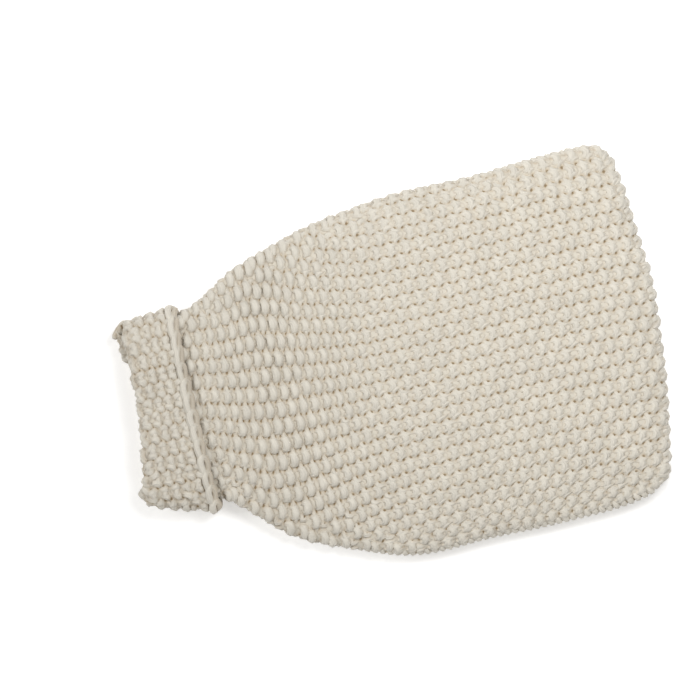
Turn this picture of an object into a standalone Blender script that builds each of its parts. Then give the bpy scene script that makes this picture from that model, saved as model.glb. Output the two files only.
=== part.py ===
"""Knitted cover for a hot water bottle: two thick knitted panels, sewn edge to edge at both
sides and at the foot, with a neck whose top is turned down outward as a collar.

The cover lies empty on its back, slightly puffed, neck toward -X, foot toward +X, +Z up.
Each panel is one continuous sheet: foot, body, neck, fold at the mouth, collar flap.
Lengths in the tables are in millimetres and become metres in to_metres().
"""

import math
from collections import namedtuple

import bmesh
import bpy
from mathutils import Vector

# ---------------------------------------------------------------- named sizes, millimetres
THICK = 4.5              # knitted cloth, one layer
PANEL_GAP = 0.3          # between the two sewn edges
FOLD_SLOT = 1.0          # air between the neck and the collar flap turned over it

SEAM_BODY = 8.0          # height of the sewn edges above the floor, at the body
SEAM_TILT = 1.3          # the seam rolls up at the low-Y side and under at the high-Y side
FRONT_RISE = 12.5        # top of the body above the seam
FRONT_RISE_FOOT = 9.5    # the same a hand's breadth before the foot
FRONT_RISE_NECK = 9.3    # top of the neck above the seam
BACK_DROP = 8.6          # underside of the body below the seam, before it is pressed flat
NECK_LIFT = THICK + FOLD_SLOT     # the neck lies on the back half of the collar
SEAM_NECK = SEAM_BODY + NECK_LIFT

MOUTH_BACK_REACH = 6.0   # the back rim shows beyond the front one at the mouth's high-Y end
FOOT_ROLL = 26.0         # length over which the foot end rounds down to its seam
CORNER = 12.0            # radius of the two corners at the foot
EDGE_ROUND = 1.3         # rounding of the cast-off edge of the collar

FRONT_POWER = 3.0        # roundness of the cross-section, 2 is an ellipse
BACK_POWER = 4.0

EDGE_WAVE = 0.7          # unevenness of the outline
TOP_WAVE = 0.6           # unevenness of the top

ACROSS = 30              # steps across a panel
FOLD_STEPS = 6           # steps round the fold at the mouth

# Outline of the cover, a row for each line of knitting that was measured.  apex is the
# furthest X of the line, bow how far its ends fall back, lean where the apex sits across
# (-1 low-Y side, +1 high-Y side), low and high the two side edges.
Line = namedtuple("Line", "name apex bow lean low high")
BODY_LINES = (
    Line("neck under the collar", -129.0, 0.0, 0.0, -37.5, 60.5),
    Line("neck at the collar's edge", -116.5, 0.0, 0.0, -43.5, 63.0),
    Line("first increases", -104.5, 0.0, 0.0, -51.0, 66.5),
    Line("shoulder", -91.0, 0.5, 0.0, -64.0, 73.5),
    Line("wide shoulder", -73.5, 1.0, 0.0, -79.5, 83.5),
    Line("upper body", -49.0, 1.5, 0.0, -90.5, 92.0),
    Line("body", -12.0, 2.0, 0.0, -103.5, 100.0),
    Line("middle", 38.0, 4.0, 0.1, -105.3, 104.8),
    Line("lower body", 88.0, 9.5, 0.2, -105.3, 104.8),
    Line("above the foot", 126.0, 11.5, 0.2, -104.2, 107.0),
    Line("foot", 159.3, 11.5, 0.2, -99.5, 107.0),
)

# Outer face of the collar: the mouth line and the free edge that lies on the body.
Collar = namedtuple("Collar", "name x_low x_middle x_high low high")
COLLAR_MOUTH = Collar("mouth", -157.2, -147.6, -147.5, -41.0, 65.8)
COLLAR_EDGE = Collar("free edge", -117.0, -118.0, -117.0, -52.5, 68.4)

# Steps along the body, as shares of the way from the mouth end of BODY_LINES to the foot.
BODY_STEPS = 26
FOOT_STEPS = (0.30, 0.55, 0.74, 0.87, 0.95, 0.985, 1.0)


def to_metres(value):
    return value * 0.001


def smooth(share):
    share = min(1.0, max(0.0, share))
    return share * share * (3.0 - 2.0 * share)


def blend(low, high, share):
    return low + (high - low) * share


def cubic(before, start, end, after, share):
    """Value on a smooth curve from start to end, shaped by the neighbours on both sides."""
    return 0.5 * (
        2.0 * start
        + (end - before) * share
        + (2.0 * before - 5.0 * start + 4.0 * end - after) * share ** 2
        + (3.0 * start - before - 3.0 * end + after) * share ** 3
    )


def body_line(place):
    """Line at a place counted in rows of BODY_LINES, such as 2.5 for half way from 2 to 3."""
    last = len(BODY_LINES) - 1
    index = min(int(place), last - 1)
    share = place - index
    rows = [BODY_LINES[min(max(index + step, 0), last)] for step in (-1, 0, 1, 2)]
    numbers = [cubic(*(row[column] for row in rows), share) for column in range(1, 6)]
    return Line("between", *numbers)


def place_of_x(x):
    """Row place at which the apex of the line reaches x."""
    low, high = 0.0, float(len(BODY_LINES) - 1)
    for _ in range(40):
        middle = 0.5 * (low + high)
        if body_line(middle).apex < x:
            low = middle
        else:
            high = middle
    return 0.5 * (low + high)


def lesser(one, other):
    """The smaller of two shares of height, with a soft change from one to the other."""
    if min(one, other) <= 0.0:
        return 0.0
    return (one ** -4 + other ** -4 - 1.0) ** -0.25


def collar_x(row, across):
    """X of a line of the collar, a parabola through its two ends and its middle."""
    slope = 0.5 * (row.x_high - row.x_low)
    curve = 0.5 * (row.x_high + row.x_low) - row.x_middle
    return row.x_middle + slope * across + curve * across ** 2


def wave(x, y, size):
    """Slow unevenness of hand-knitted cloth."""
    return size * (
        0.6 * math.sin(x / 17.0 + y / 31.0)
        + 0.4 * math.sin(x / 9.5 - y / 14.0 + 1.3)
    )


def seam_height(x):
    """The seam rises from the body to the neck, which lies on the collar's back half."""
    return blend(SEAM_NECK, SEAM_BODY, smooth((x + 112.0) / 58.0))


def floor_height(x):
    """Level that carries the back panel: the floor, or the collar's back half."""
    return blend(NECK_LIFT, 0.0, smooth((x + 113.5) / 30.0))


def rise_of(x):
    """Rise of the front panel above the seam along the cover."""
    neck_to_body = blend(FRONT_RISE_NECK, FRONT_RISE, smooth((x + 112.0) / 70.0))
    return neck_to_body - (FRONT_RISE - FRONT_RISE_FOOT) * smooth((x - 20.0) / 110.0)


def cross(step, power):
    """Share across (-1 to 1) and share of the full height, evenly spread along the curve."""
    angle = math.pi * (1.0 - step / ACROSS)
    side = math.cos(angle)
    across = math.copysign(abs(side) ** (2.0 / power), side)
    height = max(0.0, 1.0 - abs(across) ** power) ** (1.0 / power)
    if step in (0, ACROSS):
        return math.copysign(1.0, side), 0.0
    return across, height


def foot_share(x_apex):
    """How far into the rounded end of the foot a line lies, 0 to 1."""
    foot = BODY_LINES[-1].apex
    return min(1.0, max(0.0, (x_apex - foot + FOOT_ROLL) / FOOT_ROLL))


class Panel:
    """Maps a place on one face of a panel to a point. front is +1 or -1."""

    def __init__(self, front):
        self.front = front
        self.power = FRONT_POWER if front > 0 else BACK_POWER
        self.reach = 0.0 if front > 0 else MOUTH_BACK_REACH

    def level(self, x, height, seam, size, floor):
        if self.front > 0:
            return seam + PANEL_GAP / 2 + size * height
        drop = seam - PANEL_GAP / 2 - size * height
        return max(floor, drop)

    def body_point(self, apex, step, inset):
        """inset 0 is the face that shows, THICK is the face inside."""
        across, height = cross(step, self.power)
        line = body_line(place_of_x(apex))
        end = foot_share(apex)
        x = line.apex - line.bow * (across - line.lean) ** 2
        x -= inset * end
        low = line.low + inset
        high = line.high - inset
        y = blend(low, high, 0.5 * (across + 1.0))
        half = 0.5 * (high - low)
        to_side = max(0.0, 1.0 - half * (1.0 - abs(across)) / CORNER)
        to_foot = max(0.0, 1.0 - FOOT_ROLL * (1.0 - end) / CORNER)
        x -= CORNER * to_foot * (1.0 - math.sqrt(1.0 - 0.5 * to_side ** 2))
        pull = CORNER * to_side * (1.0 - math.sqrt(1.0 - 0.5 * to_foot ** 2))
        y -= math.copysign(pull, across)
        y += wave(x, 40.0 * across, EDGE_WAVE) * abs(across) ** 6 * (1.0 - end)
        x += wave(y, 25.0, EDGE_WAVE) * end ** 4
        height = lesser(height, max(0.0, 1.0 - end ** self.power) ** (1.0 / self.power))
        full = rise_of(x) if self.front > 0 else BACK_DROP
        size = full - inset
        tilt = -SEAM_TILT * across * smooth((x + 90.0) / 60.0)
        z = self.level(x, height, seam_height(x) + tilt, size, floor_height(x) + inset)
        if self.front > 0:
            z += wave(x, y, TOP_WAVE) * height ** 2
        return Vector((x, y, z))

    def collar_point(self, share, step, ring):
        """share 0 at the mouth, 1 at the free edge; ring is how far outside the neck."""
        across, height = cross(step, self.power)
        side = 0.5 * (across + 1.0)
        mouth = collar_x(COLLAR_MOUTH, across) - self.reach * side ** 1.75
        x = blend(mouth, collar_x(COLLAR_EDGE, across), share)
        outer = THICK + FOLD_SLOT
        low = blend(COLLAR_MOUTH.low, COLLAR_EDGE.low, share) + outer - ring
        high = blend(COLLAR_MOUTH.high, COLLAR_EDGE.high, share) - outer + ring
        y = blend(low, high, side)
        neck = FRONT_RISE_NECK if self.front > 0 else BACK_DROP
        z = self.level(x, height, SEAM_NECK, neck + ring, NECK_LIFT - ring)
        return Vector((x, y, z))

    def fold_point(self, angle, step, radius):
        """Point round the fold at the mouth; angle 0 is the neck, pi the collar flap."""
        middle = FOLD_SLOT / 2
        point = self.collar_point(0.0, step, middle - radius * math.cos(angle))
        point.x += THICK + middle - radius * math.sin(angle)
        return point

    def rows(self, inner):
        """Rows of points from the collar's free edge, round the fold, to the foot."""
        slot_side = not inner
        ring = FOLD_SLOT if slot_side else FOLD_SLOT + THICK
        trim = 0.22 * THICK if slot_side else -0.22 * THICK
        rows = []
        length = COLLAR_EDGE.x_low - COLLAR_MOUTH.x_low
        round_share = EDGE_ROUND / length
        start = (THICK + FOLD_SLOT / 2) / length
        rows.append([self.collar_point(1.0, step, ring + trim) for step in range(ACROSS + 1)])
        shares = [1.0 - round_share, 0.72, 0.45]
        for share in shares:
            rows.append([self.collar_point(share, step, ring) for step in range(ACROSS + 1)])
        rows.append([self.collar_point(start * 1.02, step, ring) for step in range(ACROSS + 1)])
        radius = FOLD_SLOT / 2 if slot_side else THICK + FOLD_SLOT / 2
        for turn in range(FOLD_STEPS + 1):
            angle = math.pi * (1.0 - turn / FOLD_STEPS)
            rows.append([self.fold_point(angle, step, radius) for step in range(ACROSS + 1)])
        inset = THICK if inner else 0.0
        neck_share = (BODY_LINES[0].apex - COLLAR_MOUTH.x_high) / length
        rows.append([self.collar_point(neck_share * 0.75, step, -inset)
                     for step in range(ACROSS + 1)])
        first = BODY_LINES[0].apex
        roll_start = BODY_LINES[-1].apex - FOOT_ROLL
        apexes = [blend(first, roll_start, number / BODY_STEPS)
                  for number in range(BODY_STEPS + 1)]
        apexes += [roll_start + FOOT_ROLL * share for share in FOOT_STEPS]
        for apex in apexes:
            rows.append([self.body_point(apex, step, inset) for step in range(ACROSS + 1)])
        return rows


def add_face_grid(bm, rows):
    """A grid whose points follow the rows; returns its boundary edges."""
    along = len(rows) - 1
    grid = bmesh.ops.create_grid(bm, x_segments=along, y_segments=ACROSS, size=1.0)
    for vert in grid["verts"]:
        row = round((vert.co.x + 1.0) / 2.0 * along)
        step = round((vert.co.y + 1.0) / 2.0 * ACROSS)
        vert.co = to_metres(rows[row][step])
    edges = {edge for vert in grid["verts"] for edge in vert.link_edges}
    return [edge for edge in edges if edge.is_boundary]


def build_panel(name, front, colour, collection):
    panel = Panel(front)
    bm = bmesh.new()
    shown = add_face_grid(bm, panel.rows(inner=False))
    hidden = add_face_grid(bm, panel.rows(inner=True))
    bmesh.ops.bridge_loops(bm, edges=shown + hidden)
    bmesh.ops.triangulate(bm, faces=bm.faces[:])
    bmesh.ops.recalc_face_normals(bm, faces=bm.faces[:])
    if bm.calc_volume(signed=True) < 0.0:
        bmesh.ops.reverse_faces(bm, faces=bm.faces[:])
    mesh = bpy.data.meshes.new(name)
    bm.to_mesh(mesh)
    bm.free()
    material = bpy.data.materials.new(name + "_cotton")
    material.use_nodes = True
    shader = material.node_tree.nodes["Principled BSDF"]
    shader.inputs["Base Color"].default_value = colour
    shader.inputs["Roughness"].default_value = 0.95
    mesh.materials.append(material)
    made = bpy.data.objects.new(name, mesh)
    collection.objects.link(made)
    return made


def centre_on_origin(parts):
    """Origin at the middle of the underside of the box round the whole cover."""
    points = [vert.co for part in parts for vert in part.data.vertices]
    lows = [min(point[axis] for point in points) for axis in range(3)]
    highs = [max(point[axis] for point in points) for axis in range(3)]
    shift = Vector(((lows[0] + highs[0]) / 2, (lows[1] + highs[1]) / 2, lows[2]))
    for part in parts:
        for vert in part.data.vertices:
            vert.co -= shift


def main():
    for old in list(bpy.data.objects):
        bpy.data.objects.remove(old)
    collection = bpy.data.collections.new("knitted_bottle_cover")
    bpy.context.scene.collection.children.link(collection)
    front = build_panel("front_panel", 1, (0.78, 0.73, 0.62, 1.0), collection)
    back = build_panel("back_panel", -1, (0.70, 0.64, 0.53, 1.0), collection)
    centre_on_origin((front, back))


main()
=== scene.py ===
"""Hand-knitted cover for a hot water bottle, in thick cotton seed stitch.

The cover lies empty on its back.  Both panels are knitted loop by loop along the same
outline and folds as the model's two panel solids, course by course from the collar's edge
to the foot.  Lengths in the tables are in millimetres and become metres in to_metres().
"""

import math
from collections import namedtuple

import bmesh
import bpy
import numpy as np
from bpy.props import FloatProperty, FloatVectorProperty, IntProperty, PointerProperty
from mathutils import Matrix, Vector


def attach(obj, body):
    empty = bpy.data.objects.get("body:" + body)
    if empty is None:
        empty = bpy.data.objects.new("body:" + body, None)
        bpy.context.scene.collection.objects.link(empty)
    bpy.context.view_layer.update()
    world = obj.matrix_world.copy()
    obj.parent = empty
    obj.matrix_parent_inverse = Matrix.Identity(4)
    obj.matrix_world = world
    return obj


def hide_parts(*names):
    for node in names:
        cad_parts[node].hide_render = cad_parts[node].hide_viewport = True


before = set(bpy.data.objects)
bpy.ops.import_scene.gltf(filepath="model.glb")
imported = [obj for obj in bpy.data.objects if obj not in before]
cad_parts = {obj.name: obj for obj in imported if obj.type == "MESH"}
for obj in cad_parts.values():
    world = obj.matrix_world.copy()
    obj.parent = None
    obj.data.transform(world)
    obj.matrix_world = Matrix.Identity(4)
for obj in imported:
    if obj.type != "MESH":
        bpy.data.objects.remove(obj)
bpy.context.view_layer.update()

BODY = "root"

bl_info = {
    "name": "Knitted Bottle Cover",
    "version": (1, 0, 0),
    "blender": (4, 5, 0),
    "location": "View3D > Sidebar > Knitted Cover",
    "description": "Knits a seed-stitch cover for a hot water bottle, with its stage",
    "category": "Object",
}

# ---------------- the cloth's own sizes, mm
THICK = 4.5              # the solid's cloth, whose middle carries the stitches
FOLD_SLOT = 1.0          # air between the neck and the collar
PANEL_GAP = 0.3          # between the two sewn edges
SEAM_BODY = 8.0          # height of the sewn edges above the floor, at the body
SEAM_TILT = 1.3          # the seam rolls up at the low-Y side and under at the high-Y side
FRONT_RISE = 12.5        # top of the body above the seam
FRONT_RISE_FOOT = 9.5    # the same a hand's breadth before the foot
FRONT_RISE_NECK = 9.3    # top of the neck above the seam
BACK_DROP = 8.6          # underside of the body below the seam, before it is pressed flat
NECK_LIFT = THICK + FOLD_SLOT     # the neck lies on the back half of the collar
SEAM_NECK = SEAM_BODY + NECK_LIFT
MOUTH_BACK_REACH = 6.0   # the back rim shows beyond the front one at the mouth's high-Y end
MOUTH_BACK_POWER = 1.75  # how late across the mouth that reach grows
FOOT_ROLL = 26.0         # length over which the foot end rounds down to its seam
CORNER = 12.0            # radius of the two corners at the foot
FRONT_POWER = 3.0        # roundness of the cross-section, 2 is an ellipse
BACK_POWER = 4.0
CENTRE_SHIFT = 0.8       # the tables' origin lies this far from the model's, along X

# Slow unevenness of hand-knitted cloth, as two waves across one another.
Wave = namedtuple("Wave", "share x_length y_length phase")
WAVES = (Wave(0.6, 17.0, 31.0, 0.0), Wave(0.4, 9.5, -14.0, 1.3))
EDGE_WAVE = 0.7          # size of the waves in the outline
TOP_WAVE = 0.6           # and on the top
SIDE_WAVE_Y = 40.0       # how far from the middle each side lies in the outline's waves
FOOT_WAVE_Y = 25.0       # where the foot lies in them
SIDE_WAVE_FADE = 6       # how fast they fade inwards from the sides
FOOT_WAVE_FADE = 4       # and from the foot

# A height that changes along X from start, and is done changing a length further on.
Ramp = namedtuple("Ramp", "start length")
SEAM_RAMP = Ramp(-112.0, 58.0)       # the seam sinks from the neck to the body
FLOOR_RAMP = Ramp(-113.5, 30.0)      # the back sinks from the collar to the floor
SHOULDER_RAMP = Ramp(-112.0, 70.0)   # the front rises from the neck to the body
FOOT_RAMP = Ramp(20.0, 110.0)        # and sinks again toward the foot
TILT_RAMP = Ramp(-90.0, 60.0)        # the seam begins to roll
OPEN_RAMP = Ramp(-14.0, 12.0)        # in courses: the seam comes out at the low edge

# Outline of the cover, a row for each line of knitting that was measured.  apex is the
# furthest X of the line, bow how far its ends fall back, lean where the apex sits across
# (-1 low-Y side, +1 high-Y side), low and high the two side edges.
Line = namedtuple("Line", "apex bow lean low high")
BODY_LINES = (
    Line(-129.0, 0.0, 0.0, -37.5, 60.5),
    Line(-116.5, 0.0, 0.0, -43.5, 63.0),
    Line(-104.5, 0.0, 0.0, -51.0, 66.5),
    Line(-91.0, 0.5, 0.0, -64.0, 73.5),
    Line(-73.5, 1.0, 0.0, -79.5, 83.5),
    Line(-49.0, 1.5, 0.0, -90.5, 92.0),
    Line(-12.0, 2.0, 0.0, -103.5, 100.0),
    Line(38.0, 4.0, 0.1, -105.3, 104.8),
    Line(88.0, 9.5, 0.2, -105.3, 104.8),
    Line(126.0, 11.5, 0.2, -104.2, 107.0),
    Line(159.3, 11.5, 0.2, -99.5, 107.0),
)

# Outer face of the collar: the mouth line and the free edge that lies on the body.
Collar = namedtuple("Collar", "x_low x_middle x_high low high")
COLLAR_MOUTH = Collar(-157.2, -147.6, -147.5, -41.0, 65.8)
COLLAR_EDGE = Collar(-117.0, -118.0, -117.0, -52.5, 68.4)

# Courses of knitting: where the middle of a course lies along X, how much it slants for
# each 100 mm across, where the middle wale lies across, and the width of one wale.
Course = namedtuple("Course", "number apex slant middle pitch")
COURSES = (
    Course(-34, -120.4, 14.8, 11.0, 8.4),
    Course(-30, -106.0, 14.5, 8.9, 8.5),
    Course(-26, -91.9, 12.8, 5.0, 9.3),
    Course(-22, -78.4, 9.6, 2.6, 10.1),
    Course(-18, -65.4, 7.0, 1.3, 9.9),
    Course(-14, -52.5, 4.2, 0.4, 9.3),
    Course(-10, -38.6, 2.6, -0.3, 8.75),
    Course(-6, -23.7, 1.0, -0.7, 8.2),
    Course(-2, -7.7, 0.0, -0.9, 7.84),
    Course(2, 9.5, 0.0, -0.8, 7.68),
    Course(10, 45.2, 0.0, 0.1, 7.60),
    Course(18, 81.2, 0.0, 1.5, 7.71),
    Course(26, 116.9, 0.0, 2.3, 7.89),
    Course(30, 134.4, 0.0, 1.9, 7.96),
)
SLANT_WIDTH = 100.0      # the width that a slant is given for
EDGE_COURSE = -54        # the collar's free edge
FOLD_COURSE = -42.5      # where the cloth turns back and shows its other face
NECK_COURSE = -32        # first course that shows below the collar
LAST_TABLE_COURSE = COURSES[-1].number
FOOT_PITCH = 4.45        # from one course to the next, where the foot rounds down

# Steps in which the cloth's surface is worked out.
LINE_STEPS = 1200        # along the outline's table
ROW_STEPS = 180          # across a row of the cross-section
FOOT_ROWS = 200          # rows in which the length of the foot is measured
TABLE_ROWS = 4           # rows of the surface table for each course
TABLE_COLUMNS = 240

# ---------------- one loop of yarn
LOOP_SWAY = 0.10         # how far the legs of a loop lean apart, in wales
WIDE_SWAY = 0.027        # and how much more for each mm that a wale is wider
WIDE_RELIEF = 0.14       # how much more a loop rises for each mm that its wale is wider
COLLAR_RELIEF = 1.25     # how many times as far the collar's loops rise
RAISED_GIRTH = 0.55      # how much thicker a loop is, as a share of how much more it rises
LOOP_REACH = 0.644       # how far a loop reaches to each side of its course, in courses
LOOP_POINTS = 10
YARN_SIDES = 6           # round a yarn, from a bevel resolution of 1
COURSE_SIZE = 4.35       # height of a usual course, and width of a usual wale
WALE_SIZE = 7.65

# The share of a loop that is passed, how far it rises there, in units of the relief, and how
# thick it is, in units of the yarn's radius.  A loop's second half mirrors its first.
LoopKey = namedtuple("LoopKey", "share rise girth")
LOOP_KEYS = (
    LoopKey(0.00, 0.0, 0.90),      # the bar between two loops
    LoopKey(0.14, -1.0, 1.00),     # the foot of the loop
    LoopKey(0.28, 0.2, 1.00),      # its leg
    LoopKey(0.50, 0.9, 1.25),      # its head
)

# How far one loop differs from the next, times the unevenness that the user sets.
UNEVEN_PLACE = 0.05      # along its course, in wales
UNEVEN_REACH = 0.08      # across its course, in courses
UNEVEN_GIRTH = 0.04      # as a share of its girth
UNEVEN_RISE = 0.12       # in units of the relief
COLLAR_UNEVENNESS = 2.2  # how many times as uneven the collar is

EDGE_MARGIN = 1.2        # a course keeps this far from the panel's edge
SEAM_MARGIN = 4.0        # and this far from its edge along the open part of the seam
END_LOOPS = 4.0          # the loops at a course's end that are drawn to that margin

# ---------------- the cast-off chain
CHAIN_PITCH = 9.0        # from link to link
CHAIN_POINTS = 18        # round a link
CHAIN_MIDDLE = 0.55      # where a link's middle lies after its start, in links
CHAIN_REACH = 0.62       # how far it reaches to each side of that, in links
CHAIN_SPREAD = 2.5       # from a link's middle to its two legs
CHAIN_TAPER = 0.25       # half of how much narrower a link starts than it ends, as a share
CHAIN_ARCH = 1.2         # how far its far end rises
CHAIN_ARCH_POWER = 0.7   # how round it rises, 1 is a sine
CHAIN_LIFT = 0.4         # least height of the chain above the cloth's middle
CHAIN_GIRTH = 1.0        # in units of the yarn's radius
CHAIN_SKEW = 0.14        # how far one leg of a link lies before the other, in links
CHAIN_HEIGHT = 1.6       # how many times as far as a loop it stands off the cloth; its depth is divided by this before it sets the painted shade
CHAIN_TILT = math.radians(40.0)   # how far the chain leans out over the edge
CHAIN_OVERLAP = 0.3      # the room for the last link's end, in links
CHAIN_INSET = 0.1        # from the free edge, in courses
CHAIN_END = 0.004        # share of the edge that is free at each end
UNEVEN_LINK_PLACE = 0.1  # how far one link differs from the next, in links
UNEVEN_LINK_SKEW = 0.15  # in links
UNEVEN_LINK_SIZE = 0.12  # as a share of its size

# ---------------- the overcast seam
SEAM_PITCH = 4.35        # from stitch to stitch
SEAM_POINTS = 12         # round a stitch
SEAM_REACH = 2.0         # from the seam's middle to the middle of its yarn
SEAM_GIRTH = 0.98        # in units of the yarn's radius
SEAM_INSET = 1.7         # from the rim in to the seam's middle, where it lies open
SEAM_TUCK = 1.6          # the same where it is tucked in
SEAM_LIFT = 1.5          # how much higher it lies where it lies open
RIM_INSET = 0.5          # the rim is read this far inside the cloth's ends, in courses
RIM_STOP = 0.6           # and its sides stop this far before the foot
RIM_STEP = 0.25          # in courses
RIM_FOOT_STEPS = 200
FOOT_TUCK = 0.05         # share of the foot in which the seam goes from open to tucked in

# ---------------- the sheet in the stitches, and the shade painted on it
SHEET_ALONG = 110        # faces along a sheet, and across it
SHEET_ACROSS = 64
SHEET_INSET = 0.3        # from the cloth's ends, in courses
SHEET_MARGIN = 0.006     # from its sides, as a share of its width
PINHOLE_SHIFT = 0.235    # a pinhole lies this far before its course, in courses
PINHOLE_SHADE_RANGE = (0.5, 1.3)    # from a pinhole's middle to where its painted shade starts and stops to fade
CREVICE_SHADE_RANGE = (1.3, 2.7)    # the same for the warmer painted shade in the crevice round it

# ---------------- the yarn's finish
YARN_ROUGHNESS = 0.95
YARN_SHEEN = 0.25
YARN_SHEEN_ROUGHNESS = 0.6
YARN_GLOSS = 0.15
DEEP_SHADE_RANGE = (0.4, 2.2)  # how far off the cloth's middle the yarn's painted shade starts and stops to fade
STRANDS = 6.0            # thin strands twisted into the yarn
TWIST_LENGTH = 9.0       # length of yarn in which a strand goes once round
NOISE_RANGE = (0.3, 0.7)      # where nearly all of a noise's values lie
NOISE_DETAIL = 3.0
BLOTCH_SCALE = 90.0
BLOTCH_TONES = (0.94, 1.03)
STREAKS_ACROSS = 0.6     # scale of the streaks across the strands, and along the yarn
STREAKS_ALONG = 0.2
STREAK_DETAIL = 2.0
STREAK_TONES = (0.93, 1.05)
FIBRE_SCALE = 900.0
STRAND_RELIEF = 0.35     # shares of the three in the yarn's fine relief
STREAK_RELIEF = 1.2
FIBRE_RELIEF = 1.2
RELIEF_STRENGTH = 0.62
RELIEF_DEPTH = 0.00045   # metres

# ---------------- the stage, metres and watts
FLOOR_HALF = 3.0
FLOOR_ROUGHNESS = 0.9
FLOOR_GLOW = 0.3         # keeps the floor white all round the cover
ROOM_COLOUR = (1.0, 0.99, 0.97, 1.0)
ROOM_STRENGTH = 0.46
LIGHT_AIM = Vector((-0.02, 0.02, 0.0))
Light = namedtuple("Light", "name energy size place")
LIGHTS = (
    Light("window", 43.4, 1.5, (-2.64, 1.27, 2.73)),
    Light("lamp", 1.39, 0.2, (0.15, 0.14, 0.49)),
)
LENS = 85.0              # mm
SENSOR = 36.0            # mm
VIEW_PLACE = Vector((-0.0216, 0.0210, 0.015))    # middle of what the camera frames
VIEW_WIDTH = 0.406       # width of what it frames there
VIEW_TURN = math.radians(-13.0)


def to_metres(value):
    return value * 0.001


def to_millimetres(value):
    return value * 1000.0


def smooth(share):
    share = np.clip(share, 0.0, 1.0)
    return share * share * (3.0 - 2.0 * share)


def blend(low, high, share):
    return low + (high - low) * share


def ramp(place, row):
    """From 0 before a ramp to 1 after it."""
    return smooth((place - row.start) / row.length)


def unit(vectors):
    shortest = 1e-9
    return vectors / np.maximum(np.linalg.norm(vectors, axis=-1, keepdims=True), shortest)


def lengths_along(points):
    """Length of the line through the points, from its start to each of them."""
    return np.insert(np.cumsum(np.linalg.norm(np.diff(points, axis=0), axis=1)), 0, 0.0)


def lesser(one, other):
    """The smaller of two shares of height, with a soft change from one to the other."""
    least = 1e-3
    sharpness = 4
    one = np.maximum(one, least)
    other = np.maximum(other, least)
    mixed = (one ** -sharpness + other ** -sharpness - 1.0) ** (-1.0 / sharpness)
    return np.where(np.minimum(one, other) <= least, 0.0, mixed)


def cubic_column(values, place):
    """Smooth curve through a column of a table, read at places counted in rows."""
    values = np.asarray(values)
    last = len(values) - 1
    index = np.minimum(place.astype(int), last - 1)
    share = place - index
    before, start, end, after = (values[np.clip(index + step, 0, last)] for step in (-1, 0, 1, 2))
    return 0.5 * (
        2.0 * start
        + (end - before) * share
        + (2.0 * before - 5.0 * start + 4.0 * end - after) * share ** 2
        + (3.0 * start - before - 3.0 * end + after) * share ** 3
    )


# ---------------- the cloth's surface
LINE_PLACES = np.linspace(0.0, len(BODY_LINES) - 1.0, LINE_STEPS + 1)
LINE_APEXES = cubic_column([line.apex for line in BODY_LINES], LINE_PLACES)


def body_lines(apex):
    """Bow, lean, low and high edge of the lines of knitting with these apexes."""
    place = np.interp(apex, LINE_APEXES, LINE_PLACES)
    return [cubic_column([getattr(line, column) for line in BODY_LINES], place)
            for column in ("bow", "lean", "low", "high")]


def collar_x(row, across):
    """X of a line of the collar, a parabola through its two ends and its middle."""
    slope = 0.5 * (row.x_high - row.x_low)
    curve = 0.5 * (row.x_high + row.x_low) - row.x_middle
    return row.x_middle + slope * across + curve * across ** 2


def wave(x, y, size):
    """Slow unevenness of hand-knitted cloth."""
    return size * sum(row.share * np.sin(x / row.x_length + y / row.y_length + row.phase)
                      for row in WAVES)


def seam_height(x):
    """The seam rises from the body to the neck, which lies on the collar's back half."""
    return blend(SEAM_NECK, SEAM_BODY, ramp(x, SEAM_RAMP))


def floor_height(x):
    """Level that carries the back panel: the floor, or the collar's back half."""
    return blend(NECK_LIFT, 0.0, ramp(x, FLOOR_RAMP))


def rise_of(x):
    """Rise of the front panel above the seam along the cover."""
    neck_to_body = blend(FRONT_RISE_NECK, FRONT_RISE, ramp(x, SHOULDER_RAMP))
    return neck_to_body - (FRONT_RISE - FRONT_RISE_FOOT) * ramp(x, FOOT_RAMP)


def seam_shown(course):
    """From 0, where the seam is tucked under the low edge, to 1, where it lies open."""
    return ramp(course, OPEN_RAMP)


def corner_fall(share):
    """How far the outline falls back in a corner of the foot, in units of its radius."""
    return 1.0 - np.sqrt(1.0 - 0.5 * share ** 2)


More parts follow.
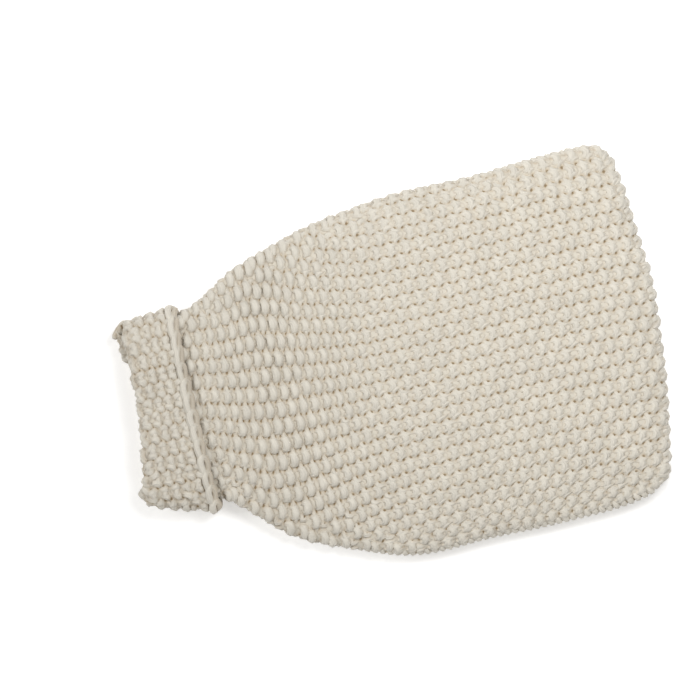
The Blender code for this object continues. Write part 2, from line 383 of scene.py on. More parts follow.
class Cloth:
    """The middle surface of one panel, by course along it and by share across it."""

    def __init__(self, front):
        """front is 1 for the front panel and -1 for the back one."""
        self.front = front
        self.power = FRONT_POWER if front > 0 else BACK_POWER
        self.reach = 0.0 if front > 0 else MOUTH_BACK_REACH
        side = np.cos(np.linspace(math.pi, 0.0, ROW_STEPS + 1))
        self.across = np.sign(side) * np.abs(side) ** (2.0 / self.power)
        self.across[[0, -1]] = -1.0, 1.0
        height = np.maximum(0.0, 1.0 - np.abs(self.across) ** self.power)
        self.height = height ** (1.0 / self.power)
        self.make_table()

    def level(self, height, seam, size, floor):
        """Z at a share of the panel's full height above or below the seam."""
        if self.front > 0:
            return seam + PANEL_GAP / 2 + size * height
        return np.maximum(floor, seam - PANEL_GAP / 2 - size * height)

    def body_row(self, apex, inset):
        """Points across the body at lines with these apexes, inset from the face that shows."""
        across, height = self.across, self.height
        end = np.clip((apex - BODY_LINES[-1].apex + FOOT_ROLL) / FOOT_ROLL, 0.0, 1.0)
        bow, lean, low, high = body_lines(apex)
        x = apex - bow * (across - lean) ** 2 - inset * end
        low = low + inset
        high = high - inset
        y = blend(low, high, 0.5 * (across + 1.0))
        half = 0.5 * (high - low)
        to_side = np.maximum(0.0, 1.0 - half * (1.0 - np.abs(across)) / CORNER)
        to_foot = np.maximum(0.0, 1.0 - FOOT_ROLL * (1.0 - end) / CORNER)
        x = x - CORNER * to_foot * corner_fall(to_side)
        y = y - np.sign(across) * CORNER * to_side * corner_fall(to_foot)
        side_wave = wave(x, SIDE_WAVE_Y * across, EDGE_WAVE)
        y = y + side_wave * np.abs(across) ** SIDE_WAVE_FADE * (1.0 - end)
        x = x + wave(y, FOOT_WAVE_Y, EDGE_WAVE) * end ** FOOT_WAVE_FADE
        to_end = np.maximum(0.0, 1.0 - end ** self.power) ** (1.0 / self.power)
        height = lesser(height, to_end)
        size = (rise_of(x) if self.front > 0 else BACK_DROP) - inset
        tilt = -SEAM_TILT * across * ramp(x, TILT_RAMP)
        z = self.level(height, seam_height(x) + tilt, size, floor_height(x) + inset)
        if self.front > 0:
            z = z + wave(x, y, TOP_WAVE) * height ** 2
        return np.stack([x, y, z], axis=-1)

    def collar_row(self, share, ring):
        """Points across the collar: share 0 at the mouth and 1 at the free edge, and ring is
        how far outside the neck they lie."""
        side = 0.5 * (self.across + 1.0)
        x = blend(self.mouth_x(), collar_x(COLLAR_EDGE, self.across), share)
        low = blend(COLLAR_MOUTH.low, COLLAR_EDGE.low, share) + NECK_LIFT - ring
        high = blend(COLLAR_MOUTH.high, COLLAR_EDGE.high, share) - NECK_LIFT + ring
        y = blend(low, high, side)
        neck = FRONT_RISE_NECK if self.front > 0 else BACK_DROP
        z = self.level(self.height, SEAM_NECK, neck + ring, NECK_LIFT - ring)
        return np.stack([x, y, z], axis=-1)

    def mouth_x(self):
        side = 0.5 * (self.across + 1.0)
        return collar_x(COLLAR_MOUTH, self.across) - self.reach * side ** MOUTH_BACK_POWER

    def unrolled_row(self, reach):
        """Row of points at a distance along the cloth, as X would be with the collar up."""
        middle = FOLD_SLOT / 2
        radius = (THICK + FOLD_SLOT) / 2
        mouth = self.mouth_x()
        turn = mouth + THICK + middle
        beyond = turn - reach
        angle = np.clip(beyond / radius, 0.0, math.pi)
        fold = self.collar_row(0.0, middle - radius * np.cos(angle))
        fold[:, 0] += THICK + middle - radius * np.sin(angle)
        edge = collar_x(COLLAR_EDGE, self.across)
        flap_x = turn + beyond - math.pi * radius
        flap = self.collar_row((flap_x - mouth) / (edge - mouth), middle + radius)
        first = BODY_LINES[0].apex
        neck = self.body_row(np.maximum(reach, first), THICK / 2)
        share = np.clip((reach - turn) / (first - turn), 0.0, 1.0)[:, None]
        points = np.where(beyond[:, None] > 0.0, fold, blend(fold, neck, share))
        return np.where(beyond[:, None] > math.pi * radius, flap, points)

    def course_reach(self, course):
        """Where a course lies along the cloth, for each place across."""
        numbers = [row.number for row in COURSES]
        shown = max(course, NECK_COURSE)
        if course > LAST_TABLE_COURSE:
            apex = np.interp(course, self.foot_numbers, self.foot_apexes)
        else:
            apex = np.interp(shown, numbers, [row.apex for row in COURSES])
        slant = np.interp(shown, numbers, [row.slant for row in COURSES])
        low, high = body_lines(np.array([apex]))[2:]
        y = blend(low, high, 0.5 * (self.across + 1.0))
        reach = apex + slant * y / SLANT_WIDTH
        if course >= NECK_COURSE:
            return reach
        turn = self.mouth_x() + THICK + FOLD_SLOT / 2
        arc = math.pi * (THICK + FOLD_SLOT) / 2
        edge = 2.0 * turn - arc - collar_x(COLLAR_EDGE, self.across)
        return blend(edge, reach, (course - EDGE_COURSE) / (NECK_COURSE - EDGE_COURSE))

    def find_foot(self):
        """Courses past the table lie evenly along the cloth as it rounds down to the seam."""
        self.foot_apexes = np.linspace(COURSES[-1].apex, BODY_LINES[-1].apex, FOOT_ROWS)
        middle = len(self.across) // 2
        points = np.array([self.body_row(np.full_like(self.across, apex), THICK / 2)[middle]
                           for apex in self.foot_apexes])
        self.foot_numbers = LAST_TABLE_COURSE + lengths_along(points) / FOOT_PITCH
        self.last = self.foot_numbers[-1]

    def make_table(self):
        """Points, widths and normals for fractions of a course, evenly spread across."""
        self.find_foot()
        count = round((self.last - EDGE_COURSE) * TABLE_ROWS) + 1
        self.courses = np.linspace(EDGE_COURSE, self.last, count)
        shares = np.linspace(0.0, 1.0, TABLE_COLUMNS + 1)
        rows = []
        widths = []
        for course in self.courses:
            row = self.unrolled_row(self.course_reach(course))
            length = lengths_along(row)
            widths.append(length[-1])
            rows.append(np.stack([np.interp(shares, length / length[-1], row[:, axis])
                                  for axis in range(3)], axis=1))
        self.points = np.array(rows)
        self.points[..., 0] -= CENTRE_SHIFT
        self.widths = np.array(widths)
        normals = np.cross(np.gradient(self.points, axis=0), np.gradient(self.points, axis=1))
        self.normals = unit(normals) * self.front

    def at(self, course, share):
        """Point and normal at a place on the middle surface."""
        row = np.clip(course, EDGE_COURSE, self.last) - EDGE_COURSE
        row = row / (self.last - EDGE_COURSE) * (len(self.courses) - 1)
        column = np.clip(share, 0.0, 1.0) * TABLE_COLUMNS
        low_row = np.minimum(row.astype(int), len(self.courses) - 2)
        low_column = np.minimum(column.astype(int), TABLE_COLUMNS - 1)
        row_share = (row - low_row)[..., None]
        column_share = (column - low_column)[..., None]
        found = []
        for table in (self.points, self.normals):
            near = blend(table[low_row, low_column], table[low_row, low_column + 1], column_share)
            far = blend(table[low_row + 1, low_column], table[low_row + 1, low_column + 1],
                        column_share)
            found.append(blend(near, far, row_share))
        point, normal = found
        return point, unit(normal)

    def width(self, course):
        return np.interp(course, self.courses, self.widths)

    def middle_and_pitch(self, course):
        """Distance of the middle wale from the low edge, and the width of a wale."""
        numbers = [row.number for row in COURSES]
        middle = np.interp(course, numbers, [row.middle for row in COURSES])
        pitch = np.interp(course, numbers, [row.pitch for row in COURSES])
        ends, _ = self.at(np.stack([course, course], axis=-1),
                          np.broadcast_to([0.0, 1.0], np.shape(course) + (2,)))
        centre = 0.5 * (ends[..., 0, 1] + ends[..., 1, 1])
        return 0.5 * self.width(course) + middle - centre, pitch


# ---------------- the way of the yarn
# A path is the yarn's points, their girth, and the cloth's points and normals there.  A normal
# is shorter where the loops stand higher, so that their depth, which sets the yarn's painted
# shade, reads the same.
def loop_profile(share, column):
    """Value of a column of LOOP_KEYS at a share of a loop, the same on both its halves."""
    half = np.minimum(share, 1.0 - share)
    shares = np.array([key.share for key in LOOP_KEYS])
    values = np.array([getattr(key, column) for key in LOOP_KEYS])
    index = np.clip(np.searchsorted(shares, half, side="right") - 1, 0, len(shares) - 2)
    part = (half - shares[index]) / (shares[index + 1] - shares[index])
    part = 0.5 * (1.0 - np.cos(math.pi * part))
    return blend(values[index], values[index + 1], part)


def end_pull(loops_away):
    """From 1 at the end of a course to 0 where its loops are no longer drawn to the margin."""
    return np.clip(1.0 - loops_away / END_LOOPS, 0.0, 1.0) ** 2


def course_path(cloth, course, sizes, chance):
    """Yarn of one course, whose loops stand out and lie deep by turns."""
    in_collar = course < NECK_COURSE
    start, pitch = cloth.middle_and_pitch(np.array(float(course)))
    width = cloth.width(course)
    first = round(float(-start / pitch))
    last = round(float((width - start) / pitch))
    loops = last - first
    number = np.arange(loops * LOOP_POINTS + 1)
    loop = np.minimum(number // LOOP_POINTS, loops - 1)
    share = number / LOOP_POINTS - loop
    place = first + loop + share

    centres = first + 0.5 + np.arange(loops)
    unevenness = sizes.unevenness * (COLLAR_UNEVENNESS if in_collar else 1.0)
    uneven = unevenness * chance.normal(0.0, 1.0, (4, loops))
    shift, lean, swell, lift = (np.interp(place, centres, row) for row in uneven)

    sway = (LOOP_SWAY + WIDE_SWAY * (pitch - WALE_SIZE)) * np.sin(4.0 * math.pi * share)
    distance = start + pitch * (place + sway + UNEVEN_PLACE * shift)
    shown = seam_shown(course)
    to_low = (SEAM_MARGIN * shown - start - pitch * first) * end_pull(place - first)
    to_high = (width - start - pitch * last) * end_pull(last - place)
    distance = distance + to_low + to_high
    along = course - LOOP_REACH * np.cos(2.0 * math.pi * share) + UNEVEN_REACH * lean
    distance = distance - start + cloth.middle_and_pitch(along)[0]
    there_width = cloth.width(along)
    low_margin = blend(EDGE_MARGIN, SEAM_MARGIN, shown)
    across = np.clip(distance, low_margin, there_width - EDGE_MARGIN) / there_width
    point, normal = cloth.at(along, across)

    kind = np.where((course + first + loop) % 2 == 0, 1.0, -1.0)
    height = 1.0 + WIDE_RELIEF * (pitch - WALE_SIZE)
    if in_collar:
        height = height * COLLAR_RELIEF
    rise = kind * height * loop_profile(share, "rise") + UNEVEN_RISE * lift
    girth = loop_profile(share, "girth") * (1.0 + UNEVEN_GIRTH * swell)
    girth = girth * (1.0 + kind * RAISED_GIRTH * (height - 1.0))
    yarn = point + normal * (rise * to_millimetres(sizes.relief))[:, None]
    keep_above_floor(yarn, girth, sizes)
    return yarn, girth, point, normal / height


def keep_above_floor(yarn, girth, sizes):
    """Lift the yarn's points where it would reach below the floor."""
    yarn[:, 2] = np.maximum(yarn[:, 2], to_millimetres(sizes.yarn_radius) * girth)


def chain_paths(cloth, sizes, chance):
    """Cast-off chain on the collar's free edge: one ring of yarn for each link."""
    links = round(float(cloth.width(EDGE_COURSE)) / CHAIN_PITCH)
    turn = 2.0 * math.pi * np.arange(CHAIN_POINTS + 1) / CHAIN_POINTS
    along = CHAIN_MIDDLE - CHAIN_REACH * np.cos(turn)
    spread = CHAIN_SPREAD * np.sin(turn) * (1.0 - CHAIN_TAPER - CHAIN_TAPER * np.cos(turn))
    lift = CHAIN_ARCH * np.sin(0.5 * turn) ** CHAIN_ARCH_POWER
    paths = []
    for link in range(links):
        shift, skew, swell = sizes.unevenness * chance.normal(0.0, 1.0, 3)
        lean = (CHAIN_SKEW + UNEVEN_LINK_SKEW * skew) * np.sin(turn)
        place = link + (along + UNEVEN_LINK_PLACE * shift + lean)
        share = np.clip(place / (links + CHAIN_OVERLAP), CHAIN_END, 1.0 - CHAIN_END)
        courses = np.full_like(share, EDGE_COURSE + CHAIN_INSET)
        point, normal = cloth.at(courses, share)
        inner, _ = cloth.at(courses + 1.0, share)
        outward = unit(point - inner)
        normal = -normal         # the turned-down collar shows the cloth's other face
        size = 1.0 + UNEVEN_LINK_SIZE * swell
        across = math.cos(CHAIN_TILT) * outward - math.sin(CHAIN_TILT) * normal
        up = math.sin(CHAIN_TILT) * outward + math.cos(CHAIN_TILT) * normal
        yarn = point + across * (spread * size)[:, None] + up * (lift + CHAIN_LIFT)[:, None]
        girth = np.full_like(share, CHAIN_GIRTH * size)
        keep_above_floor(yarn, girth, sizes)
        paths.append((yarn, girth, point, normal / CHAIN_HEIGHT))
    return paths


def rim_of(fronts, backs):
    """The seam's line round the cover, its outward direction, and where it is tucked in.

    It runs down the low edge, over the foot, and up the high edge.
    """
    courses = np.arange(EDGE_COURSE + RIM_INSET, fronts.last - RIM_STOP, RIM_STEP)
    across = np.linspace(0.0, 1.0, RIM_FOOT_STEPS + 1)[1:-1]
    foot = np.full_like(across, fronts.last - RIM_INSET)
    course = np.concatenate([courses, foot, courses[::-1]])
    share = np.concatenate([np.zeros_like(courses), across, np.ones_like(courses)])
    tucked = np.concatenate([1.0 - seam_shown(courses), smooth(across / FOOT_TUCK),
                             np.ones_like(courses)])
    point, front_normal = fronts.at(course, share)
    back_normal = backs.at(course, share)[1]
    shown_face = np.where(course < FOLD_COURSE, -1.0, 1.0)
    return point, unit(front_normal + back_normal) * shown_face[:, None], tucked


def seam_path(fronts, backs, sizes):
    """Overcast seam: one yarn that winds round the joined edges of the two panels."""
    rim, outward, tucked = rim_of(fronts, backs)
    length = lengths_along(rim)
    count = int(length[-1] / SEAM_PITCH) * SEAM_POINTS
    places = np.linspace(0.0, length[-1], count)
    columns = np.column_stack([rim, outward, tucked])
    found = np.stack([np.interp(places, length, column) for column in columns.T], axis=1)
    centre, outward, tucked = found[:, :3], unit(found[:, 3:6]), found[:, 6]
    up = unit(np.cross(unit(np.gradient(centre, axis=0)), outward))
    angle = 2.0 * math.pi * np.arange(count) / SEAM_POINTS
    centre = centre - outward * blend(SEAM_INSET, SEAM_TUCK, tucked)[:, None]
    centre[:, 2] += SEAM_LIFT * (1.0 - tucked)
    around = outward * np.cos(angle)[:, None] + up * np.sin(angle)[:, None]
    yarn = centre + around * SEAM_REACH
    girth = np.full(count, SEAM_GIRTH)
    keep_above_floor(yarn, girth, sizes)
    return yarn, girth, centre, around


# ---------------- meshes
def mesh_from_paths(name, paths, radius):
    """Round yarns along the given paths as one mesh, with what its material reads."""
    curve = bpy.data.curves.new(name, "CURVE")
    curve.dimensions = "3D"
    curve.bevel_depth = radius
    curve.bevel_resolution = 1
    for yarn, girth, _, _ in paths:
        spline = curve.splines.new("POLY")
        spline.points.add(len(yarn) - 1)
        places = np.ones((len(yarn), 4))
        places[:, :3] = to_metres(yarn)
        spline.points.foreach_set("co", places.ravel())
        spline.points.foreach_set("radius", girth)
        spline.use_smooth = True
    made = bpy.data.objects.new(name + "_path", curve)
    bpy.context.scene.collection.objects.link(made)
    graph = bpy.context.evaluated_depsgraph_get()
    mesh = bpy.data.meshes.new_from_object(made.evaluated_get(graph), depsgraph=graph)
    mesh.name = name
    bpy.data.objects.remove(made)
    bpy.data.curves.remove(curve)
    piece = bpy.data.objects.new(name, mesh)
    bpy.context.scene.collection.objects.link(piece)
    add_yarn_attributes(mesh, paths)
    close_ends(mesh)
    return piece


def close_ends(mesh):
    """Close the open ends of the yarns."""
    bm = bmesh.new()
    bm.from_mesh(mesh)
    rims = [edge for edge in bm.edges if edge.is_boundary]
    bmesh.ops.holes_fill(bm, edges=rims, sides=YARN_SIDES)
    bm.to_mesh(mesh)
    bm.free()


def add_yarn_attributes(mesh, paths):
    """UV map: along the yarn in millimetres, and once round it from 0 to 1.
    depth: how far a point stands off the cloth's middle, in millimetres; the yarn's painted shade
    is set by it."""
    places = np.empty(len(mesh.vertices) * 3)
    mesh.vertices.foreach_get("co", places)
    places = to_millimetres(places.reshape(-1, YARN_SIDES, 3))
    base = np.concatenate([path[2] for path in paths])
    normal = np.concatenate([path[3] for path in paths])
    if len(places) != len(base):
        raise RuntimeError("the yarn's rings don't match its path: " + mesh.name)
    depth = np.abs(np.einsum("rsa,ra->rs", places - base[:, None, :], normal))
    mesh.attributes.new("depth", "FLOAT", "POINT").data.foreach_set("value", depth.ravel())
    lengths = [lengths_along(path[0])[-1] for path in paths]
    ring_length = np.repeat(lengths, [len(path[0]) for path in paths])
    corners = np.empty(len(mesh.loops), dtype=np.int32)
    mesh.loops.foreach_get("vertex_index", corners)
    layer = mesh.uv_layers[0]
    pairs = np.empty(len(corners) * 2)
    layer.uv.foreach_get("vector", pairs)
    pairs = pairs.reshape(-1, 2)
    pairs[:, 0] *= ring_length[corners // YARN_SIDES]
    layer.uv.foreach_set("vector", pairs.ravel())


def sheet_mesh(name, cloth):
    """A panel's middle surface, whose UV map counts courses along U and wales along V."""
    bm = bmesh.new()
    grid = bmesh.ops.create_grid(bm, x_segments=SHEET_ALONG, y_segments=SHEET_ACROSS, size=1.0)
    places = np.array([vert.co for vert in grid["verts"]]) * 0.5 + 0.5
    course = blend(EDGE_COURSE + SHEET_INSET, cloth.last - SHEET_INSET, places[:, 0])
    share = blend(SHEET_MARGIN, 1.0 - SHEET_MARGIN, places[:, 1])
    points, _ = cloth.at(course, share)
    for vert, point in zip(grid["verts"], points):
        vert.co = to_metres(point)
    if cloth.front < 0:
        bmesh.ops.reverse_faces(bm, faces=bm.faces[:])
    mesh = bpy.data.meshes.new(name)
    bm.to_mesh(mesh)
    bm.free()
    start, pitch = cloth.middle_and_pitch(course)
    wale = (share * cloth.width(course) - start) / pitch
    corners = np.array([loop.vertex_index for loop in mesh.loops])
    layer = mesh.uv_layers.new(name="UVMap")
    layer.uv.foreach_set("vector", np.stack([course, wale], axis=1)[corners].ravel())
    mesh.shade_smooth()
    return mesh


# ---------------- materials
def new_material(name, colour, roughness):
    material = bpy.data.materials.new(name)
    material.use_nodes = True
    shader = material.node_tree.nodes["Principled BSDF"]
    shader.inputs["Base Color"].default_value = (*colour, 1.0)
    shader.inputs["Roughness"].default_value = roughness
    return material, material.node_tree, shader


def math_node(tree, operation, one, other=None):
    """Result of a sum on plain numbers or on the outputs of other nodes."""
    node = tree.nodes.new("ShaderNodeMath")
    node.operation = operation
    for socket, value in zip(node.inputs, (one, other)):
        if isinstance(value, float):
            socket.default_value = value
        elif value is not None:
            tree.links.new(value, socket)
    return node.outputs["Value"]


def noise_node(tree, place, scale, detail):
    node = tree.nodes.new("ShaderNodeTexNoise")
    node.inputs["Scale"].default_value = scale
    node.inputs["Detail"].default_value = detail
    tree.links.new(place, node.inputs["Vector"])
    return node.outputs["Fac"]


def range_node(tree, value, reach, results=(0.0, 1.0)):
    """The first result where the value is at the low end of its reach, the second at the high."""
    node = tree.nodes.new("ShaderNodeMapRange")
    for name, number in zip(("From Min", "From Max", "To Min", "To Max"), (*reach, *results)):
        node.inputs[name].default_value = number
    tree.links.new(value, node.inputs["Value"])
    return node.outputs["Result"]


def mix_node(tree, share, one, other):
    """Colour between two, which are plain colours or the outputs of other nodes."""
    node = tree.nodes.new("ShaderNodeMix")
    node.data_type = "RGBA"
    tree.links.new(share, node.inputs["Factor"])
    for name, colour in (("A", one), ("B", other)):
        if isinstance(colour, bpy.types.NodeSocket):
            tree.links.new(colour, node.inputs[name])
        else:
            node.inputs[name].default_value = (*colour, 1.0)
    return node.outputs["Result"]


def uv_parts(tree):
    """U and V of the piece's own map."""
    pattern = tree.nodes.new("ShaderNodeUVMap")
    pattern.uv_map = "UVMap"
    parts = tree.nodes.new("ShaderNodeSeparateXYZ")
    tree.links.new(pattern.outputs["UV"], parts.inputs["Vector"])
    return parts.outputs["X"], parts.outputs["Y"]


def yarn_material(name, colour, deep_shade):
    """Soft cotton yarn: strands, fibres, slow changes of tone, and painted shade that makes it
    darker and warmer where it lies deep.
    """
    material, tree, shader = new_material(name, colour, YARN_ROUGHNESS)
    shader.inputs["Sheen Weight"].default_value = YARN_SHEEN
    shader.inputs["Sheen Roughness"].default_value = YARN_SHEEN_ROUGHNESS
    shader.inputs["Specular IOR Level"].default_value = YARN_GLOSS
    place = tree.nodes.new("ShaderNodeTexCoord").outputs["Object"]
    blotches = noise_node(tree, place, BLOTCH_SCALE, NOISE_DETAIL)
    blotch_tone = range_node(tree, blotches, NOISE_RANGE, BLOTCH_TONES)
    turn, streaks = add_strand_turn(tree)
    streak_tone = range_node(tree, streaks, NOISE_RANGE, STREAK_TONES)
    tone = math_node(tree, "MULTIPLY", blotch_tone, streak_tone)
    # Painted shade: the yarn's colour goes toward the shade colour where it lies near the cloth's
    # middle.
    depth = tree.nodes.new("ShaderNodeAttribute")
    depth.attribute_name = "depth"
    height = range_node(tree, depth.outputs["Fac"], DEEP_SHADE_RANGE)
    shaded = tree.nodes.new("ShaderNodeVectorMath")
    shaded.operation = "SCALE"
    tree.links.new(mix_node(tree, height, deep_shade, colour), shaded.inputs["Vector"])
    tree.links.new(tone, shaded.inputs["Scale"])
    tree.links.new(shaded.outputs["Vector"], shader.inputs["Base Color"])
    fibres = noise_node(tree, place, FIBRE_SCALE, NOISE_DETAIL)
    add_yarn_relief(tree, shader, turn, streaks, fibres)
    return material


def add_strand_turn(tree):
    """Turn of the twisted strands at a place on the yarn, and streaks of fibre along them."""
    u, v = uv_parts(tree)
    along = math_node(tree, "MULTIPLY", u, 2.0 * math.pi / TWIST_LENGTH)
    around = math_node(tree, "MULTIPLY", v, 2.0 * math.pi * STRANDS)
    turn = math_node(tree, "ADD", along, around)
    place = tree.nodes.new("ShaderNodeCombineXYZ")
    tree.links.new(math_node(tree, "MULTIPLY", turn, STREAKS_ACROSS), place.inputs["X"])
    tree.links.new(math_node(tree, "MULTIPLY", u, STREAKS_ALONG), place.inputs["Y"])
    return turn, noise_node(tree, place.outputs["Vector"], 1.0, STREAK_DETAIL)


def add_yarn_relief(tree, shader, turn, streaks, fibres):
    """Bump of the yarn's twisted strands, of its streaks and of its loose fibres."""
    strands = math_node(tree, "SINE", turn)
    relief = math_node(tree, "MULTIPLY", strands, STRAND_RELIEF)
    for output, size in ((streaks, STREAK_RELIEF), (fibres, FIBRE_RELIEF)):
        part = math_node(tree, "MULTIPLY", output, size)
        relief = math_node(tree, "ADD", relief, part)
    bump = tree.nodes.new("ShaderNodeBump")
    bump.inputs["Strength"].default_value = RELIEF_STRENGTH
    bump.inputs["Distance"].default_value = RELIEF_DEPTH
    tree.links.new(relief, bump.inputs["Height"])
    tree.links.new(bump.outputs["Normal"], shader.inputs["Normal"])


def sheet_material(name, colour, crevice, pinhole):
    """Cloth inside the loops, with painted shade: darker and warmer in the crevices round the
    holes between the loops, and dark brown at those holes.
    """
    material, tree, shader = new_material(name, colour, 1.0)
    shader.inputs["Specular IOR Level"].default_value = 0.0
    u, v = uv_parts(tree)
    squares = []
    for output, shift, size in ((u, PINHOLE_SHIFT, COURSE_SIZE), (v, 0.0, WALE_SIZE)):
        moved = math_node(tree, "ADD", output, 0.5 + shift)
        inside = math_node(tree, "FRACT", moved)
        off = math_node(tree, "SUBTRACT", inside, 0.5)
        off = math_node(tree, "MULTIPLY", off, size)
        squares.append(math_node(tree, "POWER", off, 2.0))
    away = math_node(tree, "SQRT", math_node(tree, "ADD", *squares))
    # Painted shade: toward the crevice colour round each pinhole, and to the dark pinhole colour
    # at its middle.
    from_crevice = range_node(tree, away, CREVICE_SHADE_RANGE)
    from_pinhole = range_node(tree, away, PINHOLE_SHADE_RANGE)
    cloth = mix_node(tree, from_crevice, crevice, colour)
    tree.links.new(mix_node(tree, from_pinhole, pinhole, cloth), shader.inputs["Base Color"])
    return material


# ---------------- what a user may change
class KnitSizes(bpy.types.PropertyGroup):
    """Sizes of the yarn and of its stitches"""

    yarn_radius: FloatProperty(
        name="Yarn radius", description="Radius of the yarn that the stitches are made of",
        default=0.0020, min=0.0005, max=0.004, subtype="DISTANCE", unit="LENGTH")
    relief: FloatProperty(
        name="Relief", description="How far a loop rises out of the middle of the cloth",
        default=0.0012, min=0.0, max=0.004, subtype="DISTANCE", unit="LENGTH")
    sheet_thickness: FloatProperty(
        name="Sheet thickness", description="Thickness of the sheet inside the stitches",
        default=0.0024, min=0.0003, max=0.003, subtype="DISTANCE", unit="LENGTH")
    unevenness: FloatProperty(
        name="Unevenness", description="How uneven the hand knitting is",
        default=0.6, min=0.0, max=3.0, subtype="FACTOR")
    seed: IntProperty(
        name="Seed", description="Which unevenness the stitches get", default=7, min=0)


class KnitColours(bpy.types.PropertyGroup):
    """Colours of the cotton, of the shade painted into it, and of the floor"""

    yarn: FloatVectorProperty(
        name="Yarn", description="Colour of the cotton yarn", subtype="COLOR", size=3,
        default=(0.721, 0.680, 0.598), min=0.0, max=1.0)
    # Painted shade: the yarn goes to this darker, warmer colour where it lies near the cloth's
    # middle, and the sheet takes it round the holes between the loops.
    deep_yarn_shade: FloatVectorProperty(
        name="Deep yarn", description="Colour of the yarn where it lies deep in the cloth",
        subtype="COLOR", size=3, default=(0.57, 0.498, 0.395), min=0.0, max=1.0)
    # The cotton's own colour with some painted shade: darker than the yarn, for the cloth that
    # lies in shade inside the loops.
    shaded_inner_cloth: FloatVectorProperty(
        name="Inner cloth", description="Colour of the cloth that shows inside a loop",
        subtype="COLOR", size=3, default=(0.66, 0.617, 0.533), min=0.0, max=1.0)
    # Painted shade: the dark brown at the holes between the loops stands in for the shaded inside
    # of the cover.
    shaded_pinholes: FloatVectorProperty(
        name="Pinholes", description="Colour seen through the pinholes between the loops",
        subtype="COLOR", size=3, default=(0.27, 0.20, 0.12), min=0.0, max=1.0)
    floor: FloatVectorProperty(
        name="Floor", description="Colour of the floor", subtype="COLOR", size=3,
        default=(0.95, 0.95, 0.95), min=0.0, max=1.0)


# ---------------- pieces
PANELS = {"front": 1, "back": -1}
CLOTHS = {}

# Each panel's stitches are four pieces, from one course to another.
Group = namedtuple("Group", "name first last")
GROUPS = (
    Group("collar_stitches", -53, -33),
    Group("shoulder_stitches", -32, -1),
    Group("body_stitches", 0, 18),
    Group("foot_stitches", 19, 60),
)


def cloth_of(side):
    """The panel's surface, worked out once."""
    if side not in CLOTHS:
        CLOTHS[side] = Cloth(PANELS[side])
    return CLOTHS[side]


def add_yarn(name, paths, radius, material):
    piece = mesh_from_paths(name, paths, radius)
    piece.data.materials.append(material)
    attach(piece, BODY)


def add_stitches(side):
    sizes = bpy.context.scene.knit_sizes
    colours = bpy.context.scene.knit_colours
    cloth = cloth_of(side)
    material = yarn_material(side + "_cotton_yarn", colours.yarn, colours.deep_yarn_shade)
    chance = np.random.default_rng([sizes.seed, PANELS[side] + 1])
    for group in GROUPS:
        last = min(group.last, int(cloth.last))
        paths = [course_path(cloth, course, sizes, chance)
                 for course in range(group.first, last + 1)]
        add_yarn(side + "_" + group.name, paths, sizes.yarn_radius, material)


class KNIT_OT_front_stitches(bpy.types.Operator):
    """Knit the loops of the front panel, course by course"""

    bl_idname = "knit.front_stitches"
    bl_label = "Front Stitches"

    def execute(self, context):
        add_stitches("front")
        return {"FINISHED"}


class KNIT_OT_back_stitches(bpy.types.Operator):
    """Knit the loops of the back panel, course by course"""

    bl_idname = "knit.back_stitches"
    bl_label = "Back Stitches"

    def execute(self, context):
        add_stitches("back")
        return {"FINISHED"}


class KNIT_OT_edging(bpy.types.Operator):
    """Work the cast-off chain on the collar's edge and the seam that joins the panels"""

    bl_idname = "knit.edging"
    bl_label = "Chain and Seam"

    def execute(self, context):
        sizes = context.scene.knit_sizes
        colours = context.scene.knit_colours
        material = yarn_material("edging_cotton_yarn", colours.yarn, colours.deep_yarn_shade)
        chance = np.random.default_rng([sizes.seed, len(PANELS) + 1])
        for side in PANELS:
            paths = chain_paths(cloth_of(side), sizes, chance)
            add_yarn(side + "_cast_off_chain", paths, sizes.yarn_radius, material)
        path = seam_path(cloth_of("front"), cloth_of("back"), sizes)
        add_yarn("overcast_seam", [path], sizes.yarn_radius, material)
        return {"FINISHED"}


class KNIT_OT_sheets(bpy.types.Operator):
    """Add the thin sheet inside the stitches of each panel, with shade painted at its crevices
    and at the holes between the loops
    """

    bl_idname = "knit.sheets"
    bl_label = "Cloth Sheets"

    def execute(self, context):
        colours = context.scene.knit_colours
        material = sheet_material("inner_cotton", colours.shaded_inner_cloth, colours.deep_yarn_shade,
                                  colours.shaded_pinholes)
        for side in reversed(PANELS):
            mesh = sheet_mesh(side + "_cloth_sheet", cloth_of(side))
            mesh.materials.append(material)
            piece = bpy.data.objects.new(side + "_cloth_sheet", mesh)
            context.scene.collection.objects.link(piece)
            wall = piece.modifiers.new("thickness", "SOLIDIFY")
            wall.thickness = context.scene.knit_sizes.sheet_thickness
            wall.offset = 0.0
            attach(piece, BODY)
            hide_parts(side + "_panel")
        return {"FINISHED"}


# ---------------- the stage
def add_floor(scene):
    bm = bmesh.new()
    bmesh.ops.create_grid(bm, x_segments=1, y_segments=1, size=FLOOR_HALF)
    mesh = bpy.data.meshes.new("floor")
    bm.to_mesh(mesh)
    bm.free()
    material, _, shader = new_material("lit_floor", scene.knit_colours.floor, FLOOR_ROUGHNESS)
    shader.inputs["Emission Color"].default_value = (1.0, 1.0, 1.0, 1.0)
    shader.inputs["Emission Strength"].default_value = FLOOR_GLOW
    mesh.materials.append(material)
    floor = bpy.data.objects.new("floor", mesh)
    scene.collection.objects.link(floor)


def add_lights(scene):
    """A soft room, a wide window from the far left, and a small lamp close to the cover."""
    world = bpy.data.worlds.new("soft_room")
    world.use_nodes = True
    background = world.node_tree.nodes["Background"]
    background.inputs["Color"].default_value = ROOM_COLOUR
    background.inputs["Strength"].default_value = ROOM_STRENGTH
    scene.world = world
    for row in LIGHTS:
        light = bpy.data.lights.new(row.name, "AREA")
        light.energy = row.energy
        light.size = row.size
        lamp = bpy.data.objects.new(row.name, light)
        scene.collection.objects.link(lamp)
        lamp.location = row.place
        lamp.rotation_euler = (LIGHT_AIM - lamp.location).to_track_quat("-Z", "Y").to_euler()


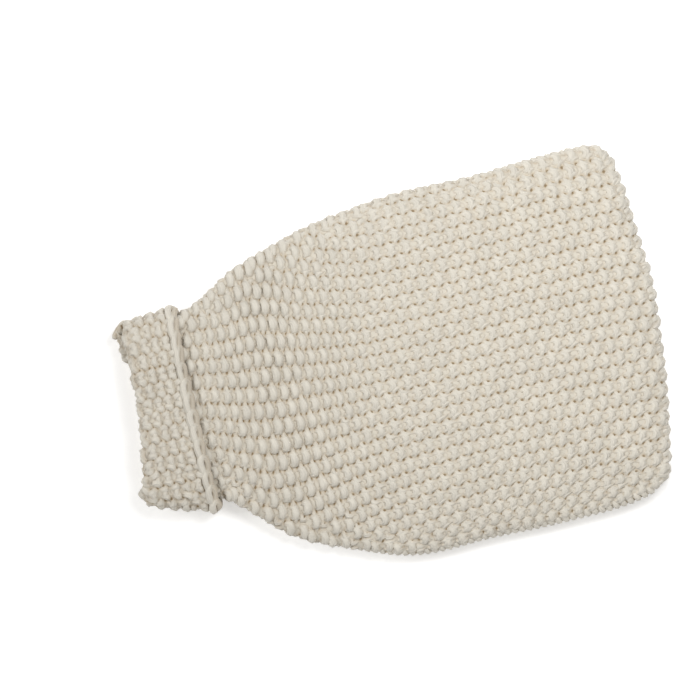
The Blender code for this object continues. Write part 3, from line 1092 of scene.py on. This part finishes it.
def add_camera(scene):
    """A camera straight above, turned so that the cover lies as in the picture."""
    lens = bpy.data.cameras.new("camera")
    lens.lens = LENS
    lens.sensor_width = SENSOR
    camera = bpy.data.objects.new("camera", lens)
    scene.collection.objects.link(camera)
    camera.location = VIEW_PLACE + Vector((0.0, 0.0, VIEW_WIDTH * LENS / SENSOR))
    camera.rotation_euler = (0.0, 0.0, VIEW_TURN)
    scene.camera = camera


class KNIT_OT_stage(bpy.types.Operator):
    """Add the floor, the soft lights and the camera straight above"""

    bl_idname = "knit.stage"
    bl_label = "Stage"

    def execute(self, context):
        add_floor(context.scene)
        add_lights(context.scene)
        add_camera(context.scene)
        context.scene.view_settings.view_transform = "Standard"
        return {"FINISHED"}


class KNIT_PT_panel(bpy.types.Panel):
    """Sizes, colours and steps of the knitted cover"""

    bl_idname = "KNIT_PT_panel"
    bl_label = "Knitted Cover"
    bl_space_type = "VIEW_3D"
    bl_region_type = "UI"
    bl_category = "Knitted Cover"

    def draw(self, context):
        layout = self.layout
        for group in (context.scene.knit_sizes, context.scene.knit_colours):
            column = layout.column()
            for name in group.__annotations__:
                column.prop(group, name)
        column = layout.column()
        for operator in OPERATORS:
            column.operator(operator.bl_idname)


OPERATORS = (KNIT_OT_stage, KNIT_OT_front_stitches, KNIT_OT_back_stitches, KNIT_OT_edging,
             KNIT_OT_sheets)
CLASSES = (KnitSizes, KnitColours) + OPERATORS + (KNIT_PT_panel,)


def register():
    for made in CLASSES:
        bpy.utils.register_class(made)
    bpy.types.Scene.knit_sizes = PointerProperty(type=KnitSizes)
    bpy.types.Scene.knit_colours = PointerProperty(type=KnitColours)


def unregister():
    del bpy.types.Scene.knit_colours
    del bpy.types.Scene.knit_sizes
    for made in reversed(CLASSES):
        bpy.utils.unregister_class(made)


def main():
    register()
    bpy.ops.knit.stage()
    bpy.ops.knit.front_stitches()
    bpy.ops.knit.back_stitches()
    bpy.ops.knit.edging()
    bpy.ops.knit.sheets()


if __name__ == "__main__":
    main()
